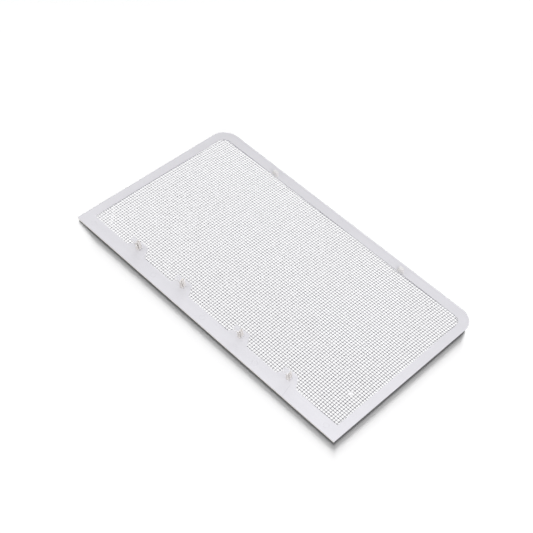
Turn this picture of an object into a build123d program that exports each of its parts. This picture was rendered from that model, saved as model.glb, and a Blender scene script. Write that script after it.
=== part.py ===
"""Clip-on mesh panel of a beehive: a thin moulded rim that holds a fine net, four flexing snap hooks
on tongues along its long square-cornered side, and two rigid lugs on the side with rounded corners.

Frame: millimetres, origin at the centre of the underside, +X along the panel, +Y from the hooks to the
lugs, +Z up, with the hooks standing up.
"""
from build123d import *
import math
import os

# ---- driving dimensions of the panel ----
PANEL_LENGTH = 470.0
PANEL_WIDTH = 278.0
PANEL_THICKNESS = 2.0
END_RIM = 13.0
HOOK_SIDE_RIM = 20.5
LUG_SIDE_RIM = 15.5
BACK_CORNER_RADIUS = 24.0
BACK_OPENING_RADIUS = 12.0
FRONT_LEFT_CORNER_RADIUS = 3.0
FRONT_RIGHT_CORNER_RADIUS = 0.8
FRONT_OPENING_RADIUS = 1.0
TOP_BEVEL = 0.35

# ---- tongues that carry the hooks, projecting from the wide rim over the opening ----
TONGUE_BASE = 34.5
TONGUE_TIP = 13.0
TONGUE_DEPTH = 16.0
TONGUE_TIP_RADIUS = 1.5
TONGUE_ROOT_RADIUS = 1.2
TONGUE_OVERLAP = 1.0

# ---- net: two layers of thin strands, one along the panel and one across it ----
CELL_LENGTH = 4.0
CELL_WIDTH = 3.77
STRAND_WIDTH = 0.7
STRAND_HEIGHT = 0.5
NET_BOTTOM = 0.4
LENGTHWISE_SKEW = 1.3
CROSSWISE_SKEW = -0.5
CROSSWISE_BOW = 3.0
SPARE_STRANDS = 4
GROOVE_DEPTH = 2.0
STRAND_END_GAP = 0.1
STRAND_OVERRUN = 4.0

# ---- snap hooks: a split post that leans away from the net, under a wider wedge head. The head
#      overhangs the front leg as a barb, and the thick rear leg stands out behind it as a shoulder ----
# Distances along Y are those of an upright hook, before the lean is applied.
HOOK_STATIONS = (-140.0, -55.0, 51.0, 136.0)
HOOK_INSET = 4.3
HOOK_LEAN = 15.0
POST_WIDTH = 4.2
POST_FRONT = -1.85
FRONT_LEG = 1.3
LEG_SLOT = 1.1
SLOT_BOTTOM = 0.7
POST_REAR_FOOT = 5.5
POST_SHOULDER = 5.2
POST_SHOULDER_HEIGHT = 17.0
POST_HEIGHT = 24.0
HEAD_WIDTH = 8.8
HEAD_FRONT = -4.6
HEAD_REAR = 2.1
HEAD_UNDERSIDE = 21.0
HEAD_FRONT_HEIGHT = 22.4
HEAD_REAR_HEIGHT = 26.1
HEAD_CORNER_RADIUS = 0.7
HEAD_TOP_RADIUS = 0.3
FOOT_FLARE = 0.6
FOOT_HEIGHT = 1.1
FOOT_LIFT = 0.2
HEEL_RELIEF = 9.0
ROOT_RADIUS = 1.0
ROOT_CLEARANCE = 0.05
ROOT_OFFSET = 0.2
SOCKET_SIDE_ROOM = 0.3

# ---- rigid lugs on the rounded side ----
LUG_STATIONS = (-120.0, 115.0)
LUG_INSET = 0.1
LUG_FOOT = 11.0
LUG_TOP = 6.6
LUG_DEPTH = 3.6
LUG_HEIGHT = 7.2
LUG_LIP = 1.0
LUG_LIP_HEIGHT = 1.8
LUG_BEVEL = 0.3

# ---- round witness marks left by the ejector pins ----
FRONT_MARKS = (-213.0, -94.0, -2.0, 92.0, 213.0)
BACK_MARKS = (-95.0, 0.0, 95.0)
MARK_DIAMETER = 8.0
MARK_LINE = 0.7
MARK_DEPTH = 0.12

FRONT_EDGE = -PANEL_WIDTH / 2
BACK_EDGE = PANEL_WIDTH / 2
OPENING_FRONT = FRONT_EDGE + HOOK_SIDE_RIM
OPENING_BACK = BACK_EDGE - LUG_SIDE_RIM
OPENING_HALF_LENGTH = PANEL_LENGTH / 2 - END_RIM
HOOK_LINE = OPENING_FRONT + HOOK_INSET


def rounded_outline(half_length, front, back, radii):
    """Rectangle from front to back, with its own radius at each corner.

    The radii go round as front left, front right, back right, back left.
    """
    corners = [
        (-half_length, front, 1, 1),
        (half_length, front, -1, 1),
        (half_length, back, -1, -1),
        (-half_length, back, 1, -1),
    ]
    outline = Polygon(*[(x, y) for x, y, _, _ in corners], align=None)
    for (x, y, _, _), radius in zip(corners, radii):
        vertex = outline.vertices().sort_by_distance((x, y, 0))[0]
        outline = fillet(vertex, radius)
    return outline


def panel_outline():
    radii = (FRONT_LEFT_CORNER_RADIUS, FRONT_RIGHT_CORNER_RADIUS, BACK_CORNER_RADIUS, BACK_CORNER_RADIUS)
    return rounded_outline(PANEL_LENGTH / 2, FRONT_EDGE, BACK_EDGE, radii)


def tongue_outline(station):
    """Trapezoid that narrows away from the rim."""
    base = TONGUE_BASE / 2
    tip = TONGUE_TIP / 2
    return Polygon(
        (station - base, OPENING_FRONT - TONGUE_OVERLAP),
        (station + base, OPENING_FRONT - TONGUE_OVERLAP),
        (station + base, OPENING_FRONT),
        (station + tip, OPENING_FRONT + TONGUE_DEPTH),
        (station - tip, OPENING_FRONT + TONGUE_DEPTH),
        (station - base, OPENING_FRONT),
        align=None,
    )


def opening_outline():
    """The window in the rim, with the four tongues taken out of it."""
    radii = (FRONT_OPENING_RADIUS, FRONT_OPENING_RADIUS, BACK_OPENING_RADIUS, BACK_OPENING_RADIUS)
    window = rounded_outline(OPENING_HALF_LENGTH, OPENING_FRONT, OPENING_BACK, radii)
    for station in HOOK_STATIONS:
        window = window - tongue_outline(station)
    for station in HOOK_STATIONS:
        for side in (-1, 1):
            tip = (station + side * TONGUE_TIP / 2, OPENING_FRONT + TONGUE_DEPTH, 0)
            root = (station + side * TONGUE_BASE / 2, OPENING_FRONT, 0)
            window = fillet(window.vertices().sort_by_distance(tip)[0], TONGUE_TIP_RADIUS)
            window = fillet(window.vertices().sort_by_distance(root)[0], TONGUE_ROOT_RADIUS)
    return window


def prism(outline, bottom, top):
    return extrude(Pos(0, 0, bottom) * outline, top - bottom)


def hook_root_socket(station):
    """Half-round socket in the tongue that the root of one hook turns in."""
    length = POST_WIDTH + 2 * FOOT_FLARE + 2 * SOCKET_SIDE_ROOM
    rod = Cylinder(ROOT_RADIUS + ROOT_CLEARANCE, length, rotation=(0, 90, 0))
    return Pos(station, HOOK_LINE + ROOT_OFFSET, PANEL_THICKNESS) * rod


def ejector_mark(x, y):
    outer = Circle(MARK_DIAMETER / 2)
    inner = Circle(MARK_DIAMETER / 2 - MARK_LINE)
    return prism(Pos(x, y) * (outer - inner), PANEL_THICKNESS - MARK_DEPTH, PANEL_THICKNESS + 1)


def make_rim(window):
    """One moulded frame: a wide flat rim and its tongues, grooved all round to hold the net."""
    body = prism(panel_outline(), 0, PANEL_THICKNESS)
    top_edges = body.faces().sort_by(Axis.Z)[-1].edges()
    body = chamfer(top_edges, TOP_BEVEL)
    body = body - prism(window, -1, PANEL_THICKNESS + 1)
    groove = offset(window, GROOVE_DEPTH, kind=Kind.INTERSECTION)
    body = body - prism(groove, NET_BOTTOM, NET_BOTTOM + 2 * STRAND_HEIGHT)
    for station in HOOK_STATIONS:
        body = body - hook_root_socket(station)
    for x in FRONT_MARKS:
        body = body - ejector_mark(x, FRONT_EDGE + HOOK_SIDE_RIM / 2)
    for x in BACK_MARKS:
        body = body - ejector_mark(x, BACK_EDGE - LUG_SIDE_RIM / 2)
    return body


def clipped(strands, region):
    """The stretches of each strand that lie inside the grooved window, as separate solids."""
    pieces = []
    for strand in strands:
        pieces += (strand & region).solids()
    return pieces


def make_lengthwise_strands(region):
    """Lower layer: straight strands along the panel, turned slightly off its long edge."""
    middle = (OPENING_FRONT + OPENING_BACK) / 2
    rows = int((OPENING_BACK - OPENING_FRONT) / CELL_WIDTH) + SPARE_STRANDS
    bar = Box(PANEL_LENGTH, STRAND_WIDTH, STRAND_HEIGHT, align=(Align.CENTER, Align.CENTER, Align.MIN))
    layer = Pos(0, middle, NET_BOTTOM) * Rot(0, 0, LENGTHWISE_SKEW)
    strands = []
    for row in range(-rows // 2, rows // 2 + 1):
        strands.append(layer * Pos(0, row * CELL_WIDTH) * bar)
    return clipped(strands, region)


def bowed_bar(length, bow):
    """Flat bar along Y whose middle is displaced towards -X by the bow."""
    half = length / 2
    left = -STRAND_WIDTH / 2
    right = STRAND_WIDTH / 2
    sides = [
        ThreePointArc((left, -half), (left - bow, 0), (left, half)),
        Line((left, half), (right, half)),
        ThreePointArc((right, half), (right - bow, 0), (right, -half)),
        Line((right, -half), (left, -half)),
    ]
    return extrude(make_face(sides), STRAND_HEIGHT)


def make_crosswise_strands(region):
    """Upper layer: strands across the panel, all bowed the same way, as a pulled net hangs."""
    length = OPENING_BACK - OPENING_FRONT + 2 * STRAND_OVERRUN
    middle = (OPENING_FRONT + OPENING_BACK) / 2
    columns = int(2 * OPENING_HALF_LENGTH / CELL_LENGTH) + SPARE_STRANDS
    level = NET_BOTTOM + STRAND_HEIGHT
    bar = bowed_bar(length, CROSSWISE_BOW)
    strands = []
    for column in range(-columns // 2, columns // 2 + 1):
        place = Pos(column * CELL_LENGTH + CROSSWISE_BOW / 2, middle, level) * Rot(0, 0, CROSSWISE_SKEW)
        strands.append(place * bar)
    return clipped(strands, region)


def across(profile, width):
    """Solid of the given width along X, from a closed profile of (y, z) points."""
    face = make_face(Polyline(*[(0, y, z) for y, z in profile], close=True))
    return Pos(-width / 2, 0, 0) * extrude(face, width, dir=(1, 0, 0))


def leaned(profile):
    """Shift each (y, z) point away from the net in proportion to its height above the foot."""
    slope = math.tan(math.radians(HOOK_LEAN))
    foot_top = FOOT_LIFT + FOOT_HEIGHT
    return [(y - (z - foot_top) * slope, z) for y, z in profile]


def make_hook(station):
    """One snap hook: round root, flared foot, two legs with a slot between them, and a wedge head.

    The heel of the foot rises away from the tongue, so that the hook can flex back about its root.
    """
    rear_front = POST_FRONT + FRONT_LEG + LEG_SLOT
    foot_top = FOOT_LIFT + FOOT_HEIGHT
    heel = POST_REAR_FOOT + FOOT_FLARE
    heel_lift = FOOT_LIFT + (heel - ROOT_OFFSET) * math.tan(math.radians(HEEL_RELIEF))
    front_leg = across(
        leaned(
            [
                (POST_FRONT, foot_top),
                (POST_FRONT + FRONT_LEG, foot_top),
                (POST_FRONT + FRONT_LEG, HEAD_UNDERSIDE),
                (POST_FRONT, HEAD_UNDERSIDE),
            ]
        ),
        POST_WIDTH,
    )
    rear_leg = across(
        leaned(
            [
                (rear_front, foot_top),
                (POST_REAR_FOOT, foot_top),
                (POST_SHOULDER, POST_SHOULDER_HEIGHT),
                (HEAD_REAR, POST_HEIGHT),
                (rear_front, POST_HEIGHT),
            ]
        ),
        POST_WIDTH,
    )
    foot = across(
        [
            (POST_FRONT - FOOT_FLARE, FOOT_LIFT),
            (ROOT_OFFSET, FOOT_LIFT),
            (heel, heel_lift),
            (POST_REAR_FOOT, foot_top),
            (POST_FRONT, foot_top),
        ],
        POST_WIDTH + 2 * FOOT_FLARE,
    )
    root = Pos(0, ROOT_OFFSET, 0) * Cylinder(ROOT_RADIUS, POST_WIDTH + 2 * FOOT_FLARE, rotation=(0, 90, 0))
    head = across(
        leaned(
            [
                (HEAD_FRONT, HEAD_UNDERSIDE),
                (HEAD_REAR, HEAD_UNDERSIDE),
                (HEAD_REAR, HEAD_REAR_HEIGHT),
                (HEAD_FRONT, HEAD_FRONT_HEIGHT),
            ]
        ),
        HEAD_WIDTH,
    )
    slope = math.tan(math.radians(HOOK_LEAN))
    head = fillet(head.edges().filter_by(Axis((0, 0, 0), (0, -slope, 1))), HEAD_CORNER_RADIUS)
    head = fillet(head.faces().sort_by(Axis.Z)[-1].edges(), HEAD_TOP_RADIUS)
    hook = root + foot + front_leg + rear_leg + head
    slot_front = POST_FRONT + FRONT_LEG
    slot_in_foot = across(
        [
            (slot_front, SLOT_BOTTOM),
            (rear_front, SLOT_BOTTOM),
            (rear_front, foot_top),
            (slot_front, foot_top),
        ],
        POST_WIDTH + 2 * FOOT_FLARE,
    )
    hook = hook - slot_in_foot
    return Pos(station, HOOK_LINE, PANEL_THICKNESS) * hook


def make_lug(station):
    """One rigid lug: a tapered block flush with the window's edge, with a lip that points outwards."""
    foot = LUG_FOOT / 2
    top = LUG_TOP / 2
    face = Polygon((-foot, 0), (foot, 0), (top, LUG_HEIGHT), (-top, LUG_HEIGHT), align=None)
    block = extrude(Plane.XZ * face, -LUG_DEPTH)
    lip_bottom = LUG_HEIGHT - LUG_LIP_HEIGHT
    lip = across(
        [
            (LUG_DEPTH / 2, lip_bottom - LUG_LIP),
            (LUG_DEPTH, lip_bottom - LUG_LIP),
            (LUG_DEPTH + LUG_LIP, lip_bottom),
            (LUG_DEPTH + LUG_LIP, LUG_HEIGHT),
            (LUG_DEPTH / 2, LUG_HEIGHT),
        ],
        LUG_TOP,
    )
    lug = block + lip
    lug = chamfer(lug.faces().sort_by(Axis.Z)[-1].edges().filter_by(Axis.X), LUG_BEVEL)
    return Pos(station, OPENING_BACK + LUG_INSET, PANEL_THICKNESS) * lug


def save(name, solids):
    shape = solids[0] if len(solids) == 1 else Compound(children=list(solids))
    shape.label = name
    export_step(shape, f"parts/{name}.step")


def main():
    os.makedirs("parts", exist_ok=True)
    window = opening_outline()
    net_outline = offset(window, GROOVE_DEPTH - STRAND_END_GAP, kind=Kind.INTERSECTION)
    net_region = prism(net_outline, -1, PANEL_THICKNESS + 1)
    save("rim", make_rim(window).solids())
    save("net_lengthwise_strands", make_lengthwise_strands(net_region))
    save("net_crosswise_strands", make_crosswise_strands(net_region))
    for number, station in enumerate(HOOK_STATIONS, start=1):
        save(f"snap_hook_{number}", make_hook(station).solids())
    for side, station in zip(("left", "right"), LUG_STATIONS):
        save(f"lug_{side}", make_lug(station).solids())


main()
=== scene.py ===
import math
import random

import bmesh
import bpy
import numpy as np
from mathutils import Matrix, Vector
from mathutils.geometry import tessellate_polygon
from mathutils.kdtree import KDTree


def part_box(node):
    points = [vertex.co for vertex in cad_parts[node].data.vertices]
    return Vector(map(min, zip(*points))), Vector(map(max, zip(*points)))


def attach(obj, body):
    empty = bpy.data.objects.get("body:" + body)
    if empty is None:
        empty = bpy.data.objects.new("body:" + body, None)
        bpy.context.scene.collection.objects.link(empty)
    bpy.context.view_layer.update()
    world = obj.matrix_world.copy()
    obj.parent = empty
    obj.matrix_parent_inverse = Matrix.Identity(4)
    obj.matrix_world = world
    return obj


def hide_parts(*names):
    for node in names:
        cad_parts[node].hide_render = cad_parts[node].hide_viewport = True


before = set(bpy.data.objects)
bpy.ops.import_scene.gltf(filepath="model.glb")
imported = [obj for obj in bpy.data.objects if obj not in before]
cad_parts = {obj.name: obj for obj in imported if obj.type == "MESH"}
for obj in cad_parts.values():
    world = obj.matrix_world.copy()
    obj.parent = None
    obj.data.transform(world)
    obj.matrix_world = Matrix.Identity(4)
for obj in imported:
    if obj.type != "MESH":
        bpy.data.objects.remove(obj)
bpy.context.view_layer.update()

# The looks of a beehive screen panel: rim, net, snap hooks and lugs, around the CAD frame.

MM = 0.001
RNG = random.Random(4719)

# ---- dimensions of the CAD part, in millimetres ----
RIM_LOW, RIM_HIGH = (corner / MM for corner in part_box("rim"))
HALF_LENGTH = RIM_HIGH.x
FRONT_EDGE = RIM_LOW.y
BACK_EDGE = RIM_HIGH.y
THICKNESS = RIM_HIGH.z
END_RIM = 13.0
HOOK_SIDE_RIM = 20.5
LUG_SIDE_RIM = 15.5
OUTER_RADII = (3.0, 0.8, 24.0, 24.0)
WINDOW_RADII = (1.0, 1.0, 12.0, 12.0)
TONGUE_BASE = 34.5
TONGUE_TIP = 13.0
TONGUE_DEPTH = 16.0
TONGUE_TIP_RADIUS = 1.5
TONGUE_ROOT_RADIUS = 1.2
HOOK_STATIONS = (-140.0, -55.0, 51.0, 136.0)
HOOK_INSET = 4.3
HOOK_LEAN = math.radians(15.0)
LEAN_START = 1.3
ROOT_OFFSET = 0.2
LUG_STATIONS = (-120.0, 115.0)
LUG_INSET = 0.1
CELL_LENGTH = 4.0
CELL_WIDTH = 3.77
STRAND_WIDTH = 0.7
STRAND_HEIGHT = 0.5
NET_BOTTOM = 0.4
LENGTHWISE_SKEW = math.radians(1.3)
CROSSWISE_SKEW = math.radians(-0.5)
CROSSWISE_BOW = 3.0
STRAND_OVERRUN = 4.0
FRONT_MARKS = (-213.0, -94.0, -2.0, 92.0, 213.0)
BACK_MARKS = (-95.0, 0.0, 95.0)
MARK_RADIUS = 4.0
MARKS = tuple((x, FRONT_EDGE + HOOK_SIDE_RIM / 2) for x in FRONT_MARKS)
MARKS += tuple((x, BACK_EDGE - LUG_SIDE_RIM / 2) for x in BACK_MARKS)
WINDOW_FRONT = FRONT_EDGE + HOOK_SIDE_RIM
WINDOW_BACK = BACK_EDGE - LUG_SIDE_RIM
WINDOW_HALF = HALF_LENGTH - END_RIM
WINDOW_MIDDLE = (WINDOW_FRONT + WINDOW_BACK) / 2
HOOK_LINE = WINDOW_FRONT + HOOK_INSET

# ---- chance marks of this one moulding, a painted sheen and a dark spot, in millimetres on the panel ----
FILLED_CELL = (201.5, -71.0)
WELD_LINE = ((144.0, -118.5), (149.0, -139.0))
WELD_WIDTH = 0.7
# Painted sheen: the net is whitened along this line near its left end.
PAINTED_SHEEN_LINE = ((-221.0, -86.0), (-196.0, -113.0))
PAINTED_SHEEN_WIDTH = 2.6
FILM_TONE_REACH = 4.5
# A small dark brown spot painted on the net.
DARK_SPOT = (-127.0, -96.0)
DARK_SPOT_RADIUS = 2.2


# ======== helpers ========

def link_mesh(name, verts_mm, faces, body, material):
    """A smooth-shaded mesh object from millimetre vertices, riding on a body."""
    mesh = bpy.data.meshes.new(name)
    mesh.from_pydata((np.asarray(verts_mm, float) * MM).tolist(), [], faces)
    mesh.validate()
    mesh.update()
    mesh.polygons.foreach_set("use_smooth", [True] * len(mesh.polygons))
    mesh.materials.append(material)
    obj = bpy.data.objects.new(name, mesh)
    bpy.context.scene.collection.objects.link(obj)
    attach(obj, body)
    return obj


class Nodes:
    """Short calls for building a procedural material."""

    LINE_END_FADE = 2.0

    def __init__(self, name):
        self.material = bpy.data.materials.new(name)
        self.material.use_nodes = True
        self.tree = self.material.node_tree
        self.shader = self.tree.nodes["Principled BSDF"]
        self.coords = self.add("ShaderNodeTexCoord").outputs["Object"]

    def add(self, kind, **inputs):
        node = self.tree.nodes.new(kind)
        for key, value in inputs.items():
            self.put(node.inputs[key.replace("_", " ")], value)
        return node

    def put(self, socket, value):
        if isinstance(value, bpy.types.NodeSocket):
            self.tree.links.new(value, socket)
        else:
            socket.default_value = value

    def noise(self, scale, detail=3.0, roughness=0.55, vector=None):
        node = self.add("ShaderNodeTexNoise", Scale=scale, Detail=detail, Roughness=roughness)
        self.put(node.inputs["Vector"], vector or self.coords)
        return node.outputs["Fac"]

    def stretched(self, x, y, z):
        node = self.add("ShaderNodeMapping")
        self.put(node.inputs["Vector"], self.coords)
        node.inputs["Scale"].default_value = (x, y, z)
        return node.outputs["Vector"]

    def math(self, operation, a, b=0.0, c=0.0, clamp=False):
        node = self.tree.nodes.new("ShaderNodeMath")
        node.operation = operation
        node.use_clamp = clamp
        self.put(node.inputs[0], a)
        self.put(node.inputs[1], b)
        self.put(node.inputs[2], c)
        return node.outputs[0]

    def remap(self, value, low, high, to_low, to_high):
        node = self.tree.nodes.new("ShaderNodeMapRange")
        self.put(node.inputs["Value"], value)
        ends = {"From Min": low, "From Max": high, "To Min": to_low, "To Max": to_high}
        for key, number in ends.items():
            node.inputs[key].default_value = number
        return node.outputs["Result"]

    def mix(self, factor, a, b):
        node = self.tree.nodes.new("ShaderNodeMix")
        node.data_type = "RGBA"
        self.put(node.inputs["Factor"], factor)
        for socket, value in ((node.inputs[6], a), (node.inputs[7], b)):
            self.put(socket, value if isinstance(value, bpy.types.NodeSocket) else (*value, 1.0))
        return node.outputs[2]

    def offsets(self, x_mm, y_mm):
        """How far, in metres along X and along Y, the surface lies from a point of the panel."""
        split = self.add("ShaderNodeSeparateXYZ", Vector=self.coords)
        return (self.math("SUBTRACT", split.outputs["X"], x_mm * MM),
                self.math("SUBTRACT", split.outputs["Y"], y_mm * MM))

    def distance(self, x_mm, y_mm):
        """How far, in metres, the surface lies from a point of the panel, seen from above."""
        dx, dy = self.offsets(x_mm, y_mm)
        squares = self.math("ADD", self.math("MULTIPLY", dx, dx), self.math("MULTIPLY", dy, dy))
        return self.math("SQRT", squares)

    def near(self, x_mm, y_mm, radius_mm):
        """1 at a point of the panel, falling to 0 at the radius."""
        return self.remap(self.distance(x_mm, y_mm), radius_mm * MM, 0.0, 0.0, 1.0)

    def ring(self, x_mm, y_mm, radius_mm, width_mm):
        """1 on a circle of the panel, falling to 0 at the width to each side of it."""
        away = self.math("ABSOLUTE", self.math("SUBTRACT", self.distance(x_mm, y_mm), radius_mm * MM))
        return self.remap(away, width_mm * MM, 0.0, 0.0, 1.0)

    def near_line(self, start, end, width_mm):
        """1 on a straight line of the panel, falling to 0 at the width to each side and past its ends."""
        run = Vector((end[0] - start[0], end[1] - start[1]))
        length = run.length
        run.normalize()
        dx, dy = self.offsets(*start)
        along = self.math("ADD", self.math("MULTIPLY", dx, run.x), self.math("MULTIPLY", dy, run.y))
        aside = self.math("SUBTRACT", self.math("MULTIPLY", dx, run.y), self.math("MULTIPLY", dy, run.x))
        across = self.remap(self.math("ABSOLUTE", aside), width_mm * MM, 0.0, 0.0, 1.0)
        from_middle = self.math("ABSOLUTE", self.math("SUBTRACT", along, length / 2 * MM))
        fade = self.LINE_END_FADE * MM
        inside = self.remap(from_middle, length / 2 * MM + fade, length / 2 * MM - fade, 0.0, 1.0)
        return self.math("MULTIPLY", across, inside)

    def bump(self, height, distance, strength, normal=None):
        node = self.add("ShaderNodeBump", Height=height, Distance=distance, Strength=strength)
        if normal is not None:
            self.put(node.inputs["Normal"], normal)
        return node.outputs["Normal"]


# ======== materials ========

PLASTIC_IOR = 1.49
PLASTIC_ROUGHNESS = (0.40, 0.52)
SCATTER_SHARE = 0.7
# The photo's light falls off across the panel, and this much of it is painted into the rim's colour:
# painted light at the front, painted shade at the back.
RIM_FRONT_SHADE, RIM_BACK_SHADE = 1.05, 0.97
# Millimetres from the front edge where the painted light on the outer face starts, and where it is full.
OUTER_FACE_START, OUTER_FACE_FULL = 1.5, 0.5
RING_INSET, RING_WIDTH = 0.4, 0.7


def shaded(colour, factor):
    return tuple(c * factor for c in colour)


def moulded_plastic(name, pale, deep, painted_side_light=None, on_rim=False, depth_mm=0.0):
    """White satin polypropylene: cloudy flow tone, faint moulding streaks, very fine grain.

    A lighter, warm colour is painted on the upright sides: painted light, for what thin plastic lets
    through.
    On the rim it goes on the front face only. The rim also gets painted light and shade, lighter at the
    front and darker at the back, and its marks.
    With a depth, light scatters that far inside the plastic.
    """
    n = Nodes(name)
    clouds = n.remap(n.noise(22.0, 4.0), 0.3, 0.7, 0.0, 1.0)
    streaks = n.remap(n.noise(60.0, 3.0, vector=n.stretched(0.25, 1.6, 1.0)), 0.35, 0.65, 0.0, 1.0)
    tone = n.math("ADD", n.math("MULTIPLY", clouds, 0.6), n.math("MULTIPLY", streaks, 0.4))
    colour = n.mix(tone, pale, deep)
    if on_rim:
        # Painted light and shade: the rim's colour is lighter at the front edge and darker at the back.
        position = n.add("ShaderNodeSeparateXYZ", Vector=n.coords).outputs["Y"]
        back = n.remap(position, FRONT_EDGE * MM, BACK_EDGE * MM, 0.0, 1.0)
        front_painted_light, back_painted_shade = (n.mix(tone, shaded(pale, shade), shaded(deep, shade))
                                 for shade in (RIM_FRONT_SHADE, RIM_BACK_SHADE))
        colour = n.mix(back, front_painted_light, back_painted_shade)
    if painted_side_light:
        # Painted light: upright faces, and on the rim only its front face, get a lighter, warmer colour.
        facing = n.add("ShaderNodeSeparateXYZ", Vector=n.add("ShaderNodeNewGeometry").outputs["Normal"])
        painted_side_mask = n.remap(n.math("ABSOLUTE", facing.outputs["Z"]), 0.75, 0.35, 0.0, 1.0)
        if on_rim:
            outside = n.remap(position, (FRONT_EDGE + OUTER_FACE_START) * MM,
                              (FRONT_EDGE + OUTER_FACE_FULL) * MM, 0.0, 1.0)
            painted_side_mask = n.math("MULTIPLY", painted_side_mask, outside)
        colour = n.mix(painted_side_mask, colour, painted_side_light)
    specks = n.remap(n.noise(900.0, 2.0), 0.70, 0.78, 0.0, 0.35)
    colour = n.mix(specks, colour, shaded(deep, 0.86))
    if on_rim:
        weld = n.near_line(*WELD_LINE, WELD_WIDTH)
        colour = n.mix(n.math("MULTIPLY", weld, 0.5), colour, shaded(deep, 0.82))
        rings = 0.0
        for x, y in MARKS:
            rings = n.math("MAXIMUM", rings, n.ring(x, y, MARK_RADIUS - RING_INSET, RING_WIDTH))
        colour = n.mix(n.math("MULTIPLY", rings, 0.3), colour, shaded(deep, 0.84))
    n.put(n.shader.inputs["Base Color"], colour)
    n.put(n.shader.inputs["Roughness"], n.remap(n.noise(140.0, 4.0), 0.3, 0.7, *PLASTIC_ROUGHNESS))
    grain = n.bump(n.noise(2600.0, 2.0), 0.00003, 0.35)
    waves = n.bump(n.noise(30.0, 2.0), 0.0004, 0.12, grain)
    n.put(n.shader.inputs["Normal"], waves)
    n.shader.inputs["IOR"].default_value = PLASTIC_IOR
    if depth_mm:
        n.shader.inputs["Subsurface Weight"].default_value = SCATTER_SHARE
        n.shader.inputs["Subsurface Radius"].default_value = (1.0, 1.0, 1.0)
        n.shader.inputs["Subsurface Scale"].default_value = depth_mm * MM
    return n.material


def net_plastic(name):
    """Grey white strands: darker in the welded crossings, whitened by a painted sheen along a line in one
    corner.

    The strands and crossings darken towards the right and the front, as they do in the photo: painted shade.
    """
    n = Nodes(name)
    clouds = n.remap(n.noise(14.0, 3.0), 0.3, 0.7, 0.0, 1.0)
    fibre = n.remap(n.noise(700.0, 3.0), 0.3, 0.7, 0.0, 1.0)
    tone = n.math("ADD", n.math("MULTIPLY", clouds, 0.5), n.math("MULTIPLY", fibre, 0.5))
    # Painted shade: strands and crossings get darker towards the right and the front.
    position = n.add("ShaderNodeSeparateXYZ", Vector=n.coords)
    right = n.remap(position.outputs["X"], -0.22, 0.22, 0.0, 1.0)
    near = n.remap(position.outputs["Y"], 0.12, -0.12, 0.0, 0.35)
    depth = n.math("ADD", n.math("MULTIPLY", right, 0.65), near, clamp=True)
    strand = n.mix(depth, n.mix(tone, (0.60, 0.595, 0.63), (0.55, 0.545, 0.58)),
                   n.mix(tone, (0.21, 0.20, 0.235), (0.17, 0.16, 0.195)))
    knot = n.mix(depth, (0.17, 0.165, 0.20), (0.045, 0.04, 0.065))
    crossing = n.add("ShaderNodeAttribute")
    crossing.attribute_name = "crossing"
    weld = n.remap(crossing.outputs["Fac"], 0.1, 0.9, 0.0, 1.0)
    colour = n.mix(weld, strand, knot)
    film = n.remap(n.near(*FILLED_CELL, FILM_TONE_REACH), 0.3, 0.42, 0.0, 1.0)
    colour = n.mix(film, colour, (0.95, 0.95, 0.96))
    # Painted sheen: the strands are whitened along a line near the left end.
    painted_sheen = n.near_line(*PAINTED_SHEEN_LINE, PAINTED_SHEEN_WIDTH)
    colour = n.mix(n.math("MULTIPLY", painted_sheen, 0.8), colour, (0.78, 0.78, 0.80))
    # A small dark brown spot painted on the net.
    dark_spot = n.near(*DARK_SPOT, DARK_SPOT_RADIUS)
    colour = n.mix(n.math("MULTIPLY", dark_spot, 0.6), colour, (0.22, 0.16, 0.11))
    n.put(n.shader.inputs["Base Color"], colour)
    n.put(n.shader.inputs["Roughness"], n.remap(fibre, 0.0, 1.0, 0.42, 0.58))
    n.put(n.shader.inputs["Normal"], n.bump(n.noise(3000.0, 2.0), 0.00002, 0.3))
    return n.material


RIM_PLASTIC = moulded_plastic("rim_plastic_mat", (0.715, 0.713, 0.735), (0.68, 0.678, 0.70),
                              painted_side_light=(0.93, 0.90, 0.86), on_rim=True)
HOOK_PLASTIC = moulded_plastic("hook_plastic_mat", (0.735, 0.735, 0.755), (0.71, 0.71, 0.725),
                               painted_side_light=(0.75, 0.725, 0.70), depth_mm=1.5)
LUG_PLASTIC = moulded_plastic("lug_plastic_mat", (0.78, 0.775, 0.77), (0.74, 0.73, 0.72),
                              depth_mm=1.0)
NET_PLASTIC = net_plastic("net_plastic_mat")


# ======== the net ========

# Vertices this close, in millimetres, are one, and a shorter stretch of strand is left out.
SAME_POINT = 0.002
SHORTEST_STRAND = 1.0


def strand_pieces(node):
    """The vertices, in millimetres, of each separate strand of a CAD net layer."""
    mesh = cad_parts[node].data
    points = np.array([v.co for v in mesh.vertices], float).reshape(-1, 3) / MM
    tree = KDTree(len(points))
    for i, point in enumerate(points):
        tree.insert(point, i)
    tree.balance()
    parent = list(range(len(points)))

    def root(i):
        while parent[i] != i:
            parent[i] = parent[parent[i]]
            i = parent[i]
        return i

    for a, b in mesh.edge_keys:
        parent[root(a)] = root(b)
    for i, point in enumerate(points):
        for _, j, _ in tree.find_range(point, SAME_POINT):
            parent[root(i)] = root(j)
    groups = {}
    for i in range(len(points)):
        groups.setdefault(root(i), []).append(i)
    pieces = [points[g] for g in groups.values()]
    return sorted(pieces, key=lambda p: (round(p[:, 0].min(), 1), round(p[:, 1].min(), 1)))


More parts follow.
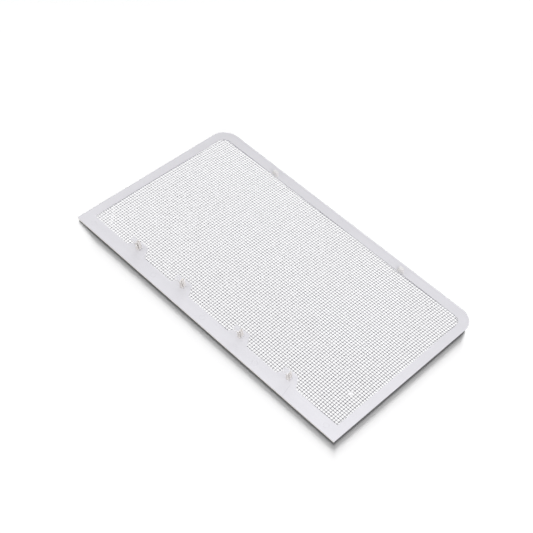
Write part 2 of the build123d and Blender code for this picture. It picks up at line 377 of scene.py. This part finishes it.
ALONG = np.array((math.cos(LENGTHWISE_SKEW), math.sin(LENGTHWISE_SKEW)))
ALONG_SIDE = np.array((-ALONG[1], ALONG[0]))
ACROSS = np.array((-math.sin(CROSSWISE_SKEW), math.cos(CROSSWISE_SKEW)))
ACROSS_SIDE = np.array((math.cos(CROSSWISE_SKEW), math.sin(CROSSWISE_SKEW)))
ARC_HALF = (WINDOW_BACK - WINDOW_FRONT + 2 * STRAND_OVERRUN) / 2
ARC_RADIUS = (ARC_HALF ** 2 + CROSSWISE_BOW ** 2) / (2 * CROSSWISE_BOW)
MIDDLE = np.array((0.0, WINDOW_MIDDLE))


def arc(t):
    """How far a crosswise strand stands towards -X at t along it, from its chord."""
    return CROSSWISE_BOW - ARC_RADIUS + math.sqrt(max(ARC_RADIUS ** 2 - t * t, 0.0))


def lengthwise_point(row, t):
    return MIDDLE + ALONG * t + ALONG_SIDE * row * CELL_WIDTH


def crosswise_point(column, t):
    centre = MIDDLE + np.array((column * CELL_LENGTH + CROSSWISE_BOW / 2, 0.0))
    return centre + ACROSS * t - ACROSS_SIDE * arc(t)


def limits(along, aside):
    """The stretch that a strand covers over its whole width, or None for a sliver."""
    middle = (along.min() + along.max()) / 2
    ends = []
    for near in (along < middle, along > middle):
        sides = [along[near & (aside > 0)], along[near & (aside < 0)]]
        if not all(len(side) for side in sides):
            return None
        ends.append(sides)
    start = max(side.min() for side in ends[0])
    end = min(side.max() for side in ends[1])
    return (float(start), float(end)) if end - start > SHORTEST_STRAND else None


def lengthwise_runs():
    """(row, start, end) of each lengthwise strand, from the CAD solids."""
    runs = []
    for piece in strand_pieces("net_lengthwise_strands"):
        local = piece[:, :2] - MIDDLE
        side = local @ ALONG_SIDE
        row = round(float((side.min() + side.max()) / 2) / CELL_WIDTH)
        found = limits(local @ ALONG, side - row * CELL_WIDTH)
        if found:
            runs.append((row, *found))
    return runs


def crosswise_runs():
    """(column, start, end) of each crosswise strand, from the CAD solids."""
    runs = []
    for piece in strand_pieces("net_crosswise_strands"):
        local = piece[:, :2] - MIDDLE
        along = local @ ACROSS
        offset = local @ ACROSS_SIDE + np.array([arc(t) for t in along]) - CROSSWISE_BOW / 2
        column = round(float((offset.min() + offset.max()) / 2) / CELL_LENGTH)
        found = limits(along, offset - column * CELL_LENGTH)
        if found:
            runs.append((column, *found))
    return runs


# A strand swells from this far before a crossing to this far past it, to so many times its width.
KNOT_REACH = 0.75
KNOT_SWELL = 1.75
# The strands are drawn a little thinner than in the CAD, each by its own share, and a little out of line.
WIDTH_SHARES = (0.86, 0.90)
WANDER = 0.02
# How far a crossing reaches into the other layer.
WELD_DEPTH = 0.12
FILM_HALF = (2.3, 2.2)
FILM_INSET = 0.1
FILM_STEPS = 16
# Section of a strand, in shares of its half width and half height.
PROFILE = ((1.0, 0.0), (0.56, 1.0), (-0.56, 1.0), (-1.0, 0.0), (-0.56, -1.0), (0.56, -1.0))


def strand_mesh(strands, low, high, weld_up, weld_down):
    """Tubes of six sides. Each strand is a list of (point, side direction, at a crossing)."""
    verts, faces, shade = [], [], []
    sides = len(PROFILE)
    for stations in strands:
        width = STRAND_WIDTH / 2 * RNG.uniform(*WIDTH_SHARES)
        first = len(verts)
        for point, side, knot in stations:
            half = width * (KNOT_SWELL if knot else 1.0)
            top = high + (weld_up if knot else 0.0)
            bottom = low - (weld_down if knot else 0.0)
            centre, height = (top + bottom) / 2, (top - bottom) / 2
            for u, v in PROFILE:
                xy = point + side * u * half
                verts.append((xy[0], xy[1], centre + v * height))
                shade.append(1.0 if knot else 0.0)
        for k in range(len(stations) - 1):
            a = first + k * sides
            for s in range(sides):
                t = (s + 1) % sides
                faces.append((a + s, a + t, a + sides + t, a + sides + s))
        last = first + (len(stations) - 1) * sides
        faces.append(tuple(first + s for s in reversed(range(sides))))
        faces.append(tuple(last + s for s in range(sides)))
    return verts, faces, shade


def add_film(verts, faces, shade, low, high):
    """The one cell that the moulding left filled: a thin film with rounded corners."""
    first = len(verts)
    steps = FILM_STEPS
    for z in (low + FILM_INSET, high - FILM_INSET):
        for k in range(steps):
            angle = 2 * math.pi * k / steps
            c, s = math.cos(angle), math.sin(angle)
            x = FILLED_CELL[0] + FILM_HALF[0] * math.copysign(abs(c) ** 0.5, c)
            y = FILLED_CELL[1] + FILM_HALF[1] * math.copysign(abs(s) ** 0.5, s)
            verts.append((x, y, z))
            shade.append(0.0)
    for k in range(steps):
        j = (k + 1) % steps
        faces.append((first + k, first + j, first + steps + j, first + steps + k))
    faces.append(tuple(first + k for k in reversed(range(steps))))
    faces.append(tuple(first + steps + k for k in range(steps)))


def with_knots(start, end, crossings):
    """Places along a strand, in order: its ends, and three at each crossing."""
    places = [(start, False)]
    for t in sorted(crossings):
        if t - KNOT_REACH <= places[-1][0] or t + KNOT_REACH >= end:
            continue
        places += [(t - KNOT_REACH, False), (t, True), (t + KNOT_REACH, False)]
    places.append((end, False))
    return places


def make_net():
    rows = lengthwise_runs()
    columns = crosswise_runs()
    row_numbers = sorted({r for r, _, _ in rows})
    column_numbers = sorted({c for c, _, _ in columns})
    row_shift = {r: RNG.uniform(-WANDER, WANDER) for r in row_numbers}
    column_shift = {c: RNG.uniform(-WANDER, WANDER) for c in column_numbers}

    def crossing(row, column):
        """(along the row, along the column) where the two centre lines meet, found in a few steps."""
        t = 0.0
        for _ in range(4):
            p = crosswise_point(column, t) - MIDDLE
            t += (row * CELL_WIDTH - float(p @ ALONG_SIDE)) / float(ACROSS @ ALONG_SIDE)
        return float((crosswise_point(column, t) - MIDDLE) @ ALONG), t

    meets = {(r, c): crossing(r, c) for r in row_numbers for c in column_numbers}
    lengthwise, crosswise = [], []
    for row, start, end in rows:
        hits = [meets[row, c][0] for c in column_numbers if start < meets[row, c][0] < end]
        shift = ALONG_SIDE * row_shift[row]
        lengthwise.append([(lengthwise_point(row, t) + shift, ALONG_SIDE, knot)
                           for t, knot in with_knots(start, end, hits)])
    for column, start, end in columns:
        hits = [meets[r, column][1] for r in row_numbers if start < meets[r, column][1] < end]
        shift = ACROSS_SIDE * column_shift[column]
        crosswise.append([(crosswise_point(column, t) + shift, -ACROSS_SIDE, knot)
                          for t, knot in with_knots(start, end, hits)])
    by_y = sorted(lengthwise, key=lambda s: float(s[0][0][1]))
    by_x = sorted(crosswise, key=lambda s: float(s[0][0][0]))
    level = NET_BOTTOM + STRAND_HEIGHT
    # low, high, how far the welds reach up and down, CAD node
    lower = (NET_BOTTOM, level, WELD_DEPTH, 0.0, "net_lengthwise_strands")
    upper = (level, level + STRAND_HEIGHT, 0.0, WELD_DEPTH, "net_crosswise_strands")
    parts = (
        ("net_lengthwise_front", by_y[:len(by_y) // 2], lower),
        ("net_lengthwise_back", by_y[len(by_y) // 2:], lower),
        ("net_crosswise_left", by_x[:len(by_x) // 2], upper),
        ("net_crosswise_right", by_x[len(by_x) // 2:], upper),
    )
    for name, strands, (low, high, up, down, node) in parts:
        verts, faces, shade = strand_mesh(strands, low, high, up, down)
        if name == "net_crosswise_right":
            add_film(verts, faces, shade, low, high)
        obj = link_mesh(name, verts, faces, "panel", NET_PLASTIC)
        crossing_shade = obj.data.attributes.new("crossing", "FLOAT", "POINT")
        crossing_shade.data.foreach_set("value", shade)
        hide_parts(node)


make_net()


# ======== the rim ========

def rounded_loop(corners, radii, offset, segments):
    """A closed loop round an anticlockwise polygon, moved outwards by the offset, its corners rounded.

    Every offset gives the same number of points, so that two loops can be bridged.
    """
    count = len(corners)
    pts = [Vector(c) for c in corners]
    edges = [(pts[(i + 1) % count] - pts[i]).normalized() for i in range(count)]
    loop = []
    for i in range(count):
        before, after = edges[i - 1], edges[i]
        turn = before.x * after.y - before.y * after.x
        normal_a = Vector((before.y, -before.x))
        normal_b = Vector((after.y, -after.x))
        bisector = (normal_a + normal_b).normalized()
        half_turn = math.acos(max(-1.0, min(1.0, normal_a.dot(normal_b)))) / 2
        corner = pts[i] + bisector * offset / math.cos(half_turn)
        convex = turn > 0
        radius = max(radii[i] + (offset if convex else -offset), SMALLEST_RADIUS)
        reach = radius * math.tan(half_turn)
        start = corner - before * reach
        centre = start - normal_a * radius if convex else start + normal_a * radius
        spoke = start - centre
        sweep = 2 * half_turn if convex else -2 * half_turn
        for k in range(segments[i] + 1):
            angle = sweep * k / segments[i]
            c, s = math.cos(angle), math.sin(angle)
            loop.append((centre.x + spoke.x * c - spoke.y * s, centre.y + spoke.x * s + spoke.y * c))
    return loop


OUTER_CORNERS = ((-HALF_LENGTH, FRONT_EDGE), (HALF_LENGTH, FRONT_EDGE),
                 (HALF_LENGTH, BACK_EDGE), (-HALF_LENGTH, BACK_EDGE))
OUTER_SEGMENTS = (8, 6, 24, 24)
SMALL_CORNER_SEGMENTS = 6
LARGE_CORNER_SEGMENTS = 18
# in millimetres
SMALLEST_RADIUS = 0.03
TOP_ROUND = 0.5
WINDOW_ROUND = 0.3
# (offset outwards, height) below the rounded top edge, outside and round the window
OUTER_FOOT = ((-0.02, 0.9), (0.0, 0.35), (-0.05, 0.12), (-0.18, 0.0))
WINDOW_FOOT = ((0.0, 1.2), (0.02, 0.7), (0.0, 0.3), (0.0, 0.08), (0.1, 0.0))
# (radius less the mark's own, height over the rim) of an ejector mark, from its edge inwards
MARK_STEPS = ((0.0, 0.0), (0.12, -0.07), (0.28, -0.12), (0.5, -0.12), (0.66, -0.05), (0.8, -0.02))
MARK_SEGMENTS = 40
SOCKET_RADIUS = 1.05
SOCKET_HALF_WIDTH = 3.0
SOCKET_SEGMENTS = 8


def window_corners():
    """Corners, radii and segments of the opening, with the four tongues that stand into it."""
    corners = [(-WINDOW_HALF, WINDOW_FRONT)]
    radii = [WINDOW_RADII[0]]
    segments = [SMALL_CORNER_SEGMENTS]
    for station in HOOK_STATIONS:
        base, tip = TONGUE_BASE / 2, TONGUE_TIP / 2
        corners += [(station - base, WINDOW_FRONT), (station - tip, WINDOW_FRONT + TONGUE_DEPTH),
                    (station + tip, WINDOW_FRONT + TONGUE_DEPTH), (station + base, WINDOW_FRONT)]
        radii += [TONGUE_ROOT_RADIUS, TONGUE_TIP_RADIUS, TONGUE_TIP_RADIUS, TONGUE_ROOT_RADIUS]
        segments += [SMALL_CORNER_SEGMENTS] * 4
    corners += [(WINDOW_HALF, WINDOW_FRONT), (WINDOW_HALF, WINDOW_BACK), (-WINDOW_HALF, WINDOW_BACK)]
    radii += WINDOW_RADII[1:]
    segments += [SMALL_CORNER_SEGMENTS, LARGE_CORNER_SEGMENTS, LARGE_CORNER_SEGMENTS]
    return corners, radii, segments


def make_rim():
    verts, faces = [], []

    def add(points, z):
        first = len(verts)
        verts.extend((x, y, z) for x, y in points)
        return list(range(first, len(verts)))

    def bridge(a, b):
        n = len(a)
        for i in range(n):
            j = (i + 1) % n
            faces.append((a[i], a[j], b[j], b[i]))

    def cover(loops, up):
        """Fills the area between an outer loop and the loops inside it."""
        lists = [[Vector((verts[i][0], verts[i][1], 0.0)) for i in loop] for loop in loops]
        flat = [i for loop in loops for i in loop]
        for tri in tessellate_polygon(lists):
            a, b, c = (flat[i] for i in tri)
            p, q, r = (Vector(verts[i][:2]) for i in (a, b, c))
            area = (q.x - p.x) * (r.y - p.y) - (q.y - p.y) * (r.x - p.x)
            if abs(area) > 1e-9:
                faces.append((a, b, c) if (area > 0) == up else (a, c, b))

    def top_round(radius, steps, outwards):
        """(offset, height) over a quarter round, from the top face down to the side."""
        quarter = []
        for k in range(steps + 1):
            angle = math.pi / 2 * k / steps
            offset = -radius + radius * math.sin(angle)
            quarter.append((offset if outwards else -offset, THICKNESS - radius + radius * math.cos(angle)))
        return quarter

    outer = [add(rounded_loop(OUTER_CORNERS, OUTER_RADII, offset, OUTER_SEGMENTS), z)
             for offset, z in (*top_round(TOP_ROUND, 5, True), *OUTER_FOOT)]
    for a, b in zip(outer, outer[1:]):
        bridge(b, a)
    corners, radii, segments = window_corners()
    inner_profile = (*top_round(WINDOW_ROUND, 4, False), *WINDOW_FOOT)
    inner = [add(rounded_loop(corners, radii, offset, segments), z) for offset, z in inner_profile]
    for a, b in zip(inner, inner[1:]):
        bridge(a, b)

    holes = []
    turns = [2 * math.pi * k / MARK_SEGMENTS for k in range(MARK_SEGMENTS)]
    for cx, cy in MARKS:
        loops = []
        for inset, drop in MARK_STEPS:
            radius = MARK_RADIUS - inset
            points = [(cx + radius * math.cos(turn), cy + radius * math.sin(turn)) for turn in turns]
            loops.append(add(points, THICKNESS + drop))
        for a, b in zip(loops, loops[1:]):
            bridge(a, b)
        faces.append(tuple(loops[-1]))
        holes.append(loops[0])
    for station in HOOK_STATIONS:
        cy = HOOK_LINE + ROOT_OFFSET
        rows = []
        for k in range(SOCKET_SEGMENTS + 1):
            angle = math.pi * k / SOCKET_SEGMENTS
            y = cy - SOCKET_RADIUS * math.cos(angle)
            z = THICKNESS - SOCKET_RADIUS * math.sin(angle)
            rows.append(add([(station - SOCKET_HALF_WIDTH, y), (station + SOCKET_HALF_WIDTH, y)], z))
        for (a, b), (c, d) in zip(rows, rows[1:]):
            faces.append((a, b, d, c))
        faces.append(tuple(r[0] for r in rows))
        faces.append(tuple(r[1] for r in reversed(rows)))
        holes.append([rows[0][0], rows[0][1], rows[-1][1], rows[-1][0]])
    cover([outer[0], inner[0], *holes], True)
    cover([outer[-1], inner[-1]], False)

    obj = link_mesh("rim_moulding", verts, faces, "panel", RIM_PLASTIC)
    weighted = obj.modifiers.new("even_shading", "WEIGHTED_NORMAL")
    weighted.mode = "FACE_AREA"
    weighted.weight = 90
    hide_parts("rim")


make_rim()


# ======== hooks and lugs ========

# Remeshing at this size, in millimetres, and smoothing so many times gives the small fillets.
SKIN_VOXEL = 0.17
FILLET_STEPS = 3
# Widths across X in millimetres; a taper is the width at the top as a share of that at the foot.
FOOT_WIDTH = 5.2
POST_WIDTH = 4.2
POST_TAPER = 0.96
HEAD_WIDTH = 8.95
ROOT_RADIUS = 0.93
ROOT_SEGMENTS = 20
LUG_WIDTH = 10.9
LUG_TAPER = 0.61
LUG_LIP_WIDTH = 6.5
LUG_SINK = 0.15


def prism(profile, width, taper=1.0):
    """Closed solid across X from a (y, z) profile, in millimetres; the taper narrows it towards its top."""
    bm = bmesh.new()
    low = min(z for _, z in profile)
    high = max(z for _, z in profile)
    ends = []
    for side in (-1, 1):
        ring = []
        for y, z in profile:
            share = (z - low) / (high - low)
            ring.append(bm.verts.new((side * width / 2 * (1 + (taper - 1) * share), y, z)))
        ends.append(ring)
    count = len(profile)
    bm.faces.new(ends[0])
    bm.faces.new(reversed(ends[1]))
    for i in range(count):
        j = (i + 1) % count
        bm.faces.new((ends[0][j], ends[0][i], ends[1][i], ends[1][j]))
    bmesh.ops.recalc_face_normals(bm, faces=bm.faces)
    return bm


def moulded(name, solids, place, body, material, node):
    """Joins the solids, in millimetres, into one skin with small moulded fillets at its place."""
    bm = bmesh.new()
    for solid in solids:
        scratch = bpy.data.meshes.new("scratch")
        solid.to_mesh(scratch)
        solid.free()
        bm.from_mesh(scratch)
        bpy.data.meshes.remove(scratch)
    mesh = bpy.data.meshes.new(name + "_rough")
    bm.to_mesh(mesh)
    bm.free()
    rough = bpy.data.objects.new(name + "_rough", mesh)
    bpy.context.scene.collection.objects.link(rough)
    remesh = rough.modifiers.new("skin", "REMESH")
    remesh.mode = "VOXEL"
    remesh.voxel_size = SKIN_VOXEL
    smooth = rough.modifiers.new("fillet", "SMOOTH")
    smooth.factor = 0.5
    smooth.iterations = FILLET_STEPS
    graph = bpy.context.evaluated_depsgraph_get()
    skin = bpy.data.meshes.new_from_object(rough.evaluated_get(graph))
    verts = np.array([v.co for v in skin.vertices], float) + np.array(place)
    faces = [tuple(p.vertices) for p in skin.polygons]
    bpy.data.objects.remove(rough)
    bpy.data.meshes.remove(mesh)
    bpy.data.meshes.remove(skin)
    obj = link_mesh(name, verts, faces, body, material)
    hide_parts(node)


def leaned(profile):
    """Shifts each (y, z) point away from the net in proportion to its height above the foot."""
    slope = math.tan(HOOK_LEAN)
    return [(y - max(z - LEAN_START, 0.0) * slope, z) for y, z in profile]


def hook_solids():
    """Foot, slotted leaning post and wedge head of one snap hook, about its own root."""
    front_foot = prism([(-2.35, 0.25), (-0.6, 0.25), (-0.6, 1.3), (-1.85, 1.45)], FOOT_WIDTH)
    rear_foot = prism([(0.6, 0.3), (6.0, 1.05), (5.5, 1.4), (0.6, 1.45)], FOOT_WIDTH)
    bridge = prism([(-0.7, 0.2), (0.7, 0.2), (0.7, 0.75), (-0.7, 0.75)], FOOT_WIDTH)
    front_leg = prism(leaned([(-1.8, 0.6), (-0.6, 0.6), (-0.6, 1.3), (-0.6, 21.4), (-1.8, 21.4),
                              (-1.8, 1.3)]), POST_WIDTH, POST_TAPER)
    rear_leg = prism(leaned([(0.6, 0.6), (5.45, 1.0), (5.45, 1.4), (5.15, 17.0), (2.1, 23.9),
                             (0.6, 23.9), (0.6, 1.3)]), POST_WIDTH, POST_TAPER)
    head = prism(leaned([(-4.6, 21.0), (2.1, 21.0), (2.1, 25.92), (-4.6, 22.3)]), HEAD_WIDTH)
    turns = [2 * math.pi * k / ROOT_SEGMENTS for k in range(ROOT_SEGMENTS)]
    root = prism([(ROOT_OFFSET + ROOT_RADIUS * math.cos(turn), ROOT_RADIUS * math.sin(turn))
                  for turn in turns], FOOT_WIDTH)
    return [front_foot, rear_foot, bridge, front_leg, rear_leg, head, root]


for number, station in enumerate(HOOK_STATIONS, start=1):
    moulded(f"hook_{number}_moulding", hook_solids(), (station, HOOK_LINE, THICKNESS),
            f"hook_{number}", HOOK_PLASTIC, f"snap_hook_{number}")


def lug_solids():
    """Tapered block with a lip that points outwards."""
    block = prism([(0.05, 0.0), (3.55, 0.0), (3.55, 7.15), (0.05, 7.15)], LUG_WIDTH, LUG_TAPER)
    lip = prism([(1.8, 4.4), (3.55, 4.4), (4.55, 5.4), (4.55, 7.15), (1.8, 7.15)], LUG_LIP_WIDTH)
    return [block, lip]


for side, station in zip(("left", "right"), LUG_STATIONS):
    moulded(f"lug_{side}_moulding", lug_solids(),
            (station, WINDOW_BACK + LUG_INSET, THICKNESS - LUG_SINK),
            "panel", LUG_PLASTIC, f"lug_{side}")


# ======== floor, light and camera ========

# in metres
FLOOR_HALF = 20.0
FLOOR_LEVEL = -0.00005
# in millimetres
CORE_INSET = 0.3
CORE_BOTTOM = 0.1
CORE_TOP = THICKNESS - 0.15
CORE_DEPTH = END_RIM - 1.5
CORE_FADE = 40.0
# name, elevation and angular size in degrees, power
SWEEPS = (
    ("floor_sweep_low", 7.0, 10.0, 114.0),
    ("floor_sweep_high", 22.0, 22.0, 18.6),
)
SWEEP_HEADING = (-0.68, 0.73, 0.0)
WORLD_LOW = (0.98, 0.93, 0.88, 1.0)
WORLD_HIGH = (0.97, 0.97, 1.0, 1.0)
WORLD_STRENGTH = 0.73
# The camera solved on the photo's four panel corners: its place, and its own axes.
CAMERA_PLACE = (0.6174, -0.8149, 1.1788)
CAMERA_RIGHT = (0.70849, 0.69811, 0.10335)
CAMERA_DOWN = (0.58054, -0.49328, -0.64780)
CAMERA_FORWARD = (-0.40126, 0.51896, -0.75476)
CAMERA_LENS = 79.77


def stage_mesh(name, verts, faces, material):
    mesh = bpy.data.meshes.new(name)
    mesh.from_pydata(verts, [], faces)
    mesh.materials.append(material)
    obj = bpy.data.objects.new(name, mesh)
    bpy.context.scene.collection.objects.link(obj)
    return obj


def make_floor():
    n = Nodes("floor_mat")
    tone = n.remap(n.noise(3.0, 3.0), 0.3, 0.7, 0.0, 1.0)
    n.put(n.shader.inputs["Base Color"], n.mix(tone, (0.135, 0.135, 0.135), (0.132, 0.132, 0.132)))
    n.shader.inputs["Roughness"].default_value = 0.95
    n.shader.inputs["Specular IOR Level"].default_value = 0.0
    corners = [(x * FLOOR_HALF, y * FLOOR_HALF, FLOOR_LEVEL)
               for x, y in ((-1, -1), (1, -1), (1, 1), (-1, 1))]
    return stage_mesh("floor", corners, [(0, 1, 2, 3)], n.material)


def make_shadow_core():
    """A bar hidden inside the rim's front and right sides, which alone blocks the floor's sweep lights.

    It thins out towards both ends, so that the shadow fades there.
    """
    left, right = -HALF_LENGTH + CORE_INSET, HALF_LENGTH - CORE_INSET
    front, back = FRONT_EDGE + CORE_INSET, BACK_EDGE - OUTER_RADII[2]
    depth, fade = CORE_DEPTH, CORE_FADE
    # outer corner, inner corner, share of the full height
    path = [((left + 4.0, front), (left + 4.0, front + depth), 0.25),
            ((left + fade, front), (left + fade, front + depth), 1.0),
            ((right, front), (right - depth, front + depth), 1.0),
            ((right, back - fade / 4), (right - depth, back - fade / 4), 1.0),
            ((right, back), (right - depth, back), 0.3)]
    verts, faces = [], []
    for outer, inner, share in path:
        top = CORE_BOTTOM + (CORE_TOP - CORE_BOTTOM) * share
        ring = ((*outer, CORE_BOTTOM), (*outer, top), (*inner, top), (*inner, CORE_BOTTOM))
        verts += [(x * MM, y * MM, z * MM) for x, y, z in ring]
    for k in range(len(path) - 1):
        a = 4 * k
        faces += [(a + i, a + (i + 1) % 4, a + 4 + (i + 1) % 4, a + 4 + i) for i in range(4)]
    last = 4 * (len(path) - 1)
    faces += [(0, 3, 2, 1), (last, last + 1, last + 2, last + 3)]
    core = stage_mesh("shadow_core", verts, faces, RIM_PLASTIC)
    core.visible_camera = False
    return core


FLOOR = make_floor()
SHADOW_CORE = make_shadow_core()


def link_light(kind, name, location, target, colour, energy):
    data = bpy.data.lights.new(name, kind)
    data.energy = energy
    data.color = colour
    light = bpy.data.objects.new(name, data)
    light.location = location
    light.rotation_mode = "QUATERNION"
    light.rotation_quaternion = (Vector(target) - Vector(location)).to_track_quat("-Z", "Y")
    bpy.context.scene.collection.objects.link(light)
    return light


def area_light(name, location, target, size, power, colour):
    light = link_light("AREA", name, location, target, colour, power)
    light.data.shape = "DISK"
    light.data.size = size
    return light


def group(name, objects):
    collection = bpy.data.collections.new(name)
    for obj in objects:
        collection.objects.link(obj)
    return collection


def make_sweeps():
    """Low broad lights that only the floor takes: the panel throws a soft shadow to the front."""
    lit = group("sweep_lights", [FLOOR])
    blocked = group("sweep_blocks", [SHADOW_CORE])
    heading = Vector(SWEEP_HEADING).normalized()
    for name, degrees, size, power in SWEEPS:
        elevation = math.radians(degrees)
        place = heading * math.cos(elevation) + Vector((0.0, 0.0, math.sin(elevation)))
        light = link_light("SUN", name, place * 3.0, (0.0, 0.0, 0.0), (1.0, 1.0, 1.0), power)
        light.data.angle = math.radians(size)
        light.light_linking.receiver_collection = lit
        light.light_linking.blocker_collection = blocked


def make_world():
    world = bpy.data.worlds.new("studio")
    world.use_nodes = True
    tree = world.node_tree
    background = tree.nodes["Background"]
    coords = tree.nodes.new("ShaderNodeTexCoord")
    split = tree.nodes.new("ShaderNodeSeparateXYZ")
    ramp = tree.nodes.new("ShaderNodeValToRGB")
    for element, position, colour in zip(ramp.color_ramp.elements, (0.0, 0.6), (WORLD_LOW, WORLD_HIGH)):
        element.position = position
        element.color = colour
    tree.links.new(coords.outputs["Generated"], split.inputs["Vector"])
    tree.links.new(split.outputs["Z"], ramp.inputs["Fac"])
    tree.links.new(ramp.outputs["Color"], background.inputs["Color"])
    background.inputs["Strength"].default_value = WORLD_STRENGTH
    bpy.context.scene.world = world


def make_key_lights():
    """Three soft area lights. The hooks don't block the right one, as the photo shows no such shadow."""
    key_right = area_light("key_right", (0.95, -0.35, 1.0), (0.15, -0.05, 0.0), 0.8, 7.3, (0.97, 0.965, 1.0))
    blocks = [obj for obj in bpy.context.scene.collection.objects
              if obj.type == "MESH" and not obj.name.startswith("hook_")]
    key_right.light_linking.blocker_collection = group("key_right_blocks", blocks)
    area_light("key_left", (-0.75, -0.95, 1.0), (0.0, -0.1, 0.0), 0.45, 1.6, (1.0, 0.99, 0.98))
    area_light("key_back", (-0.9, 1.5, 1.6), (0.0, 0.0, 0.0), 2.6, 6.4, (1.0, 0.99, 0.98))


make_world()
make_sweeps()
make_key_lights()


def make_camera():
    data = bpy.data.cameras.new("camera")
    data.sensor_width = 36.0
    data.lens = CAMERA_LENS
    data.clip_start = 0.05
    data.clip_end = 50.0
    camera = bpy.data.objects.new("camera", data)
    turn = Matrix((Vector(CAMERA_RIGHT), -Vector(CAMERA_DOWN), -Vector(CAMERA_FORWARD))).transposed()
    camera.rotation_mode = "QUATERNION"
    camera.rotation_quaternion = turn.to_quaternion()
    camera.location = CAMERA_PLACE
    bpy.context.scene.collection.objects.link(camera)
    bpy.context.scene.camera = camera


make_camera()
bpy.context.scene.view_settings.view_transform = "Standard"
# The strands are thinner than a pixel, and the denoiser's default prefilter smears them.
bpy.context.scene.cycles.denoising_prefilter = "NONE"

bpy.context.view_layer.update()
